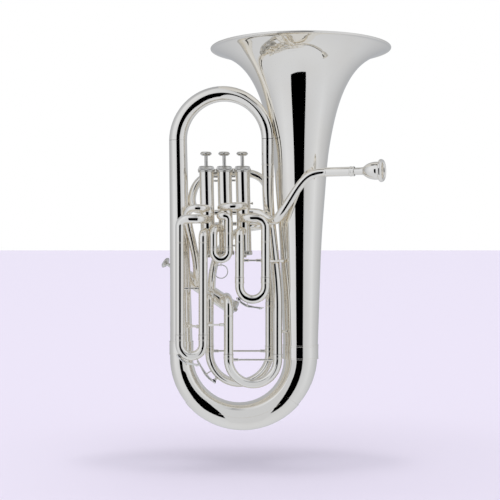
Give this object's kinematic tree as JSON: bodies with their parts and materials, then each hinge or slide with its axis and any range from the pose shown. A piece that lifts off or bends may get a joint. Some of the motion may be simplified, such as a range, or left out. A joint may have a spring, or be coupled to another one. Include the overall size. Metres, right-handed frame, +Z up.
{
  "type": "euphonium",
  "caption": "Silver-plated compensating euphonium with an upright bell, piston valves that press in, pulling tuning slides and sprung water keys.",
  "frame": {"origin": "the lowest point of the bottom bow, where the horn rests on the player's lap", "axes": "+Z up along the bell towards its mouth, +X from the valves towards the bell, -Y to the front, where the slides of the upper valves stand"},
  "size_m": [0.3845, 0.3, 0.636],
  "materials": {
    "silver_plate": "silver plated, mirror polished",
    "key_metal": "silver plated nickel silver, polished",
    "piston_metal": "lapped monel, satin",
    "spring_steel": "drawn spring wire"
  },
  "bodies": {
    "root": {"bell": "silver_plate", "bell_ferrule": "silver_plate", "bottom_bow": "silver_plate", "bow_guard": "silver_plate", "branch_ferrule": "silver_plate", "left_branch": "silver_plate", "top_bow": "silver_plate", "right_branch": "silver_plate", "leadpipe": "silver_plate", "mouthpiece_receiver": "silver_plate", "crossover_tube": "silver_plate", "valve_3_to_4_tube": "silver_plate", "compensating_loop": "silver_plate", "compensating_return": "silver_plate", "first_slide_sleeve_left": "silver_plate", "first_slide_sleeve_right": "silver_plate", "second_slide_sleeve_left": "silver_plate", "second_slide_sleeve_right": "silver_plate", "third_slide_sleeve_left": "silver_plate", "third_slide_sleeve_right": "silver_plate", "main_slide_sleeve": "silver_plate", "fourth_slide_sleeve_left": "silver_plate", "fourth_slide_sleeve_right": "silver_plate", "valve_1_casing": "silver_plate", "valve_1_top_cap": "silver_plate", "valve_1_bottom_cap": "silver_plate", "valve_1_spring": "spring_steel", "valve_2_casing": "silver_plate", "valve_2_top_cap": "silver_plate", "valve_2_bottom_cap": "silver_plate", "valve_2_spring": "spring_steel", "valve_3_casing": "silver_plate", "valve_3_top_cap": "silver_plate", "valve_3_bottom_cap": "silver_plate", "valve_3_spring": "spring_steel", "valve_4_casing": "silver_plate", "valve_4_top_cap": "silver_plate", "valve_4_bottom_cap": "silver_plate", "valve_4_spring": "spring_steel"},
    "valve_1": {"valve_1_piston": "piston_metal", "valve_1_finger_button": "silver_plate"},
    "valve_2": {"valve_2_piston": "piston_metal", "valve_2_finger_button": "silver_plate"},
    "valve_3": {"valve_3_piston": "piston_metal", "valve_3_finger_button": "silver_plate"},
    "valve_4": {"valve_4_piston": "piston_metal", "valve_4_finger_button": "silver_plate"},
    "first_slide": {"first_slide": "silver_plate"},
    "second_slide": {"second_slide": "silver_plate"},
    "third_slide": {"third_slide": "silver_plate"},
    "main_slide": {"main_slide": "silver_plate"},
    "fourth_slide": {"fourth_slide": "silver_plate"},
    "water_key_first": {"water_key_first": "key_metal"},
    "water_key_third": {"water_key_third": "key_metal"},
    "water_key_fourth": {"water_key_fourth": "key_metal"},
    "pull_ring": {"pull_ring": "key_metal"},
    "mouthpiece": {"mouthpiece": "silver_plate"}
  },
  "joints": [
    {"name": "valve_1_press", "type": "slide", "parent": "root", "child": "valve_1", "axis": [0.0234, 0, -0.9997], "range_m": [0, 0.017], "stiffness_N_per_m": 120, "springref_m": -0.02, "deforming": ["valve_1_spring"]},
    {"name": "valve_2_press", "type": "slide", "parent": "root", "child": "valve_2", "axis": [0.0234, 0, -0.9997], "range_m": [0, 0.017], "stiffness_N_per_m": 120, "springref_m": -0.02, "deforming": ["valve_2_spring"]},
    {"name": "valve_3_press", "type": "slide", "parent": "root", "child": "valve_3", "axis": [0.0234, 0, -0.9997], "range_m": [0, 0.017], "stiffness_N_per_m": 120, "springref_m": -0.02, "deforming": ["valve_3_spring"]},
    {"name": "valve_4_press", "type": "slide", "parent": "root", "child": "valve_4", "axis": [0.8218, -0.1833, -0.5395], "range_m": [0, 0.017], "stiffness_N_per_m": 120, "springref_m": -0.02, "deforming": ["valve_4_spring"]},
    {"name": "first_slide_pull", "type": "slide", "parent": "root", "child": "first_slide", "axis": [0, 0, -1], "range_m": [0, 0.04]},
    {"name": "second_slide_pull", "type": "slide", "parent": "root", "child": "second_slide", "axis": [0, 0, -1], "range_m": [0, 0.012]},
    {"name": "third_slide_pull", "type": "slide", "parent": "root", "child": "third_slide", "axis": [0, 0, -1], "range_m": [0, 0.08]},
    {"name": "main_slide_pull", "type": "slide", "parent": "root", "child": "main_slide", "axis": [0, 0, -1], "range_m": [0, 0.022]},
    {"name": "fourth_slide_pull", "type": "slide", "parent": "root", "child": "fourth_slide", "axis": [0, 0, -1], "range_m": [0, 0.012]},
    {"name": "water_key_first_lift", "type": "hinge", "parent": "first_slide", "child": "water_key_first", "pos_m": [0.0046, -0.038, 0.2093], "axis": [0, -1, 0], "range_deg": [0, 14], "stiffness_Nm_per_rad": 0.05, "springref_deg": -22.92},
    {"name": "water_key_third_lift", "type": "hinge", "parent": "third_slide", "child": "water_key_third", "pos_m": [-0.0933, -0.038, 0.1162], "axis": [0, -1, 0], "range_deg": [0, 14], "stiffness_Nm_per_rad": 0.05, "springref_deg": -22.92},
    {"name": "water_key_fourth_lift", "type": "hinge", "parent": "fourth_slide", "child": "water_key_fourth", "pos_m": [-0.0636, -0.005, 0.0936], "axis": [0, 1, 0], "range_deg": [0, 14], "stiffness_Nm_per_rad": 0.05, "springref_deg": -22.92},
    {"name": "pull_ring_swing", "type": "hinge", "parent": "second_slide", "child": "pull_ring", "pos_m": [-0.0378, -0.038, 0.2757], "axis": [1, 0, 0], "range_deg": [-60, 60]},
    {"name": "mouthpiece_pull", "type": "slide", "parent": "root", "child": "mouthpiece", "axis": [0.9272, -0.3746, 0], "range_m": [0, 0.03]}
  ]
}
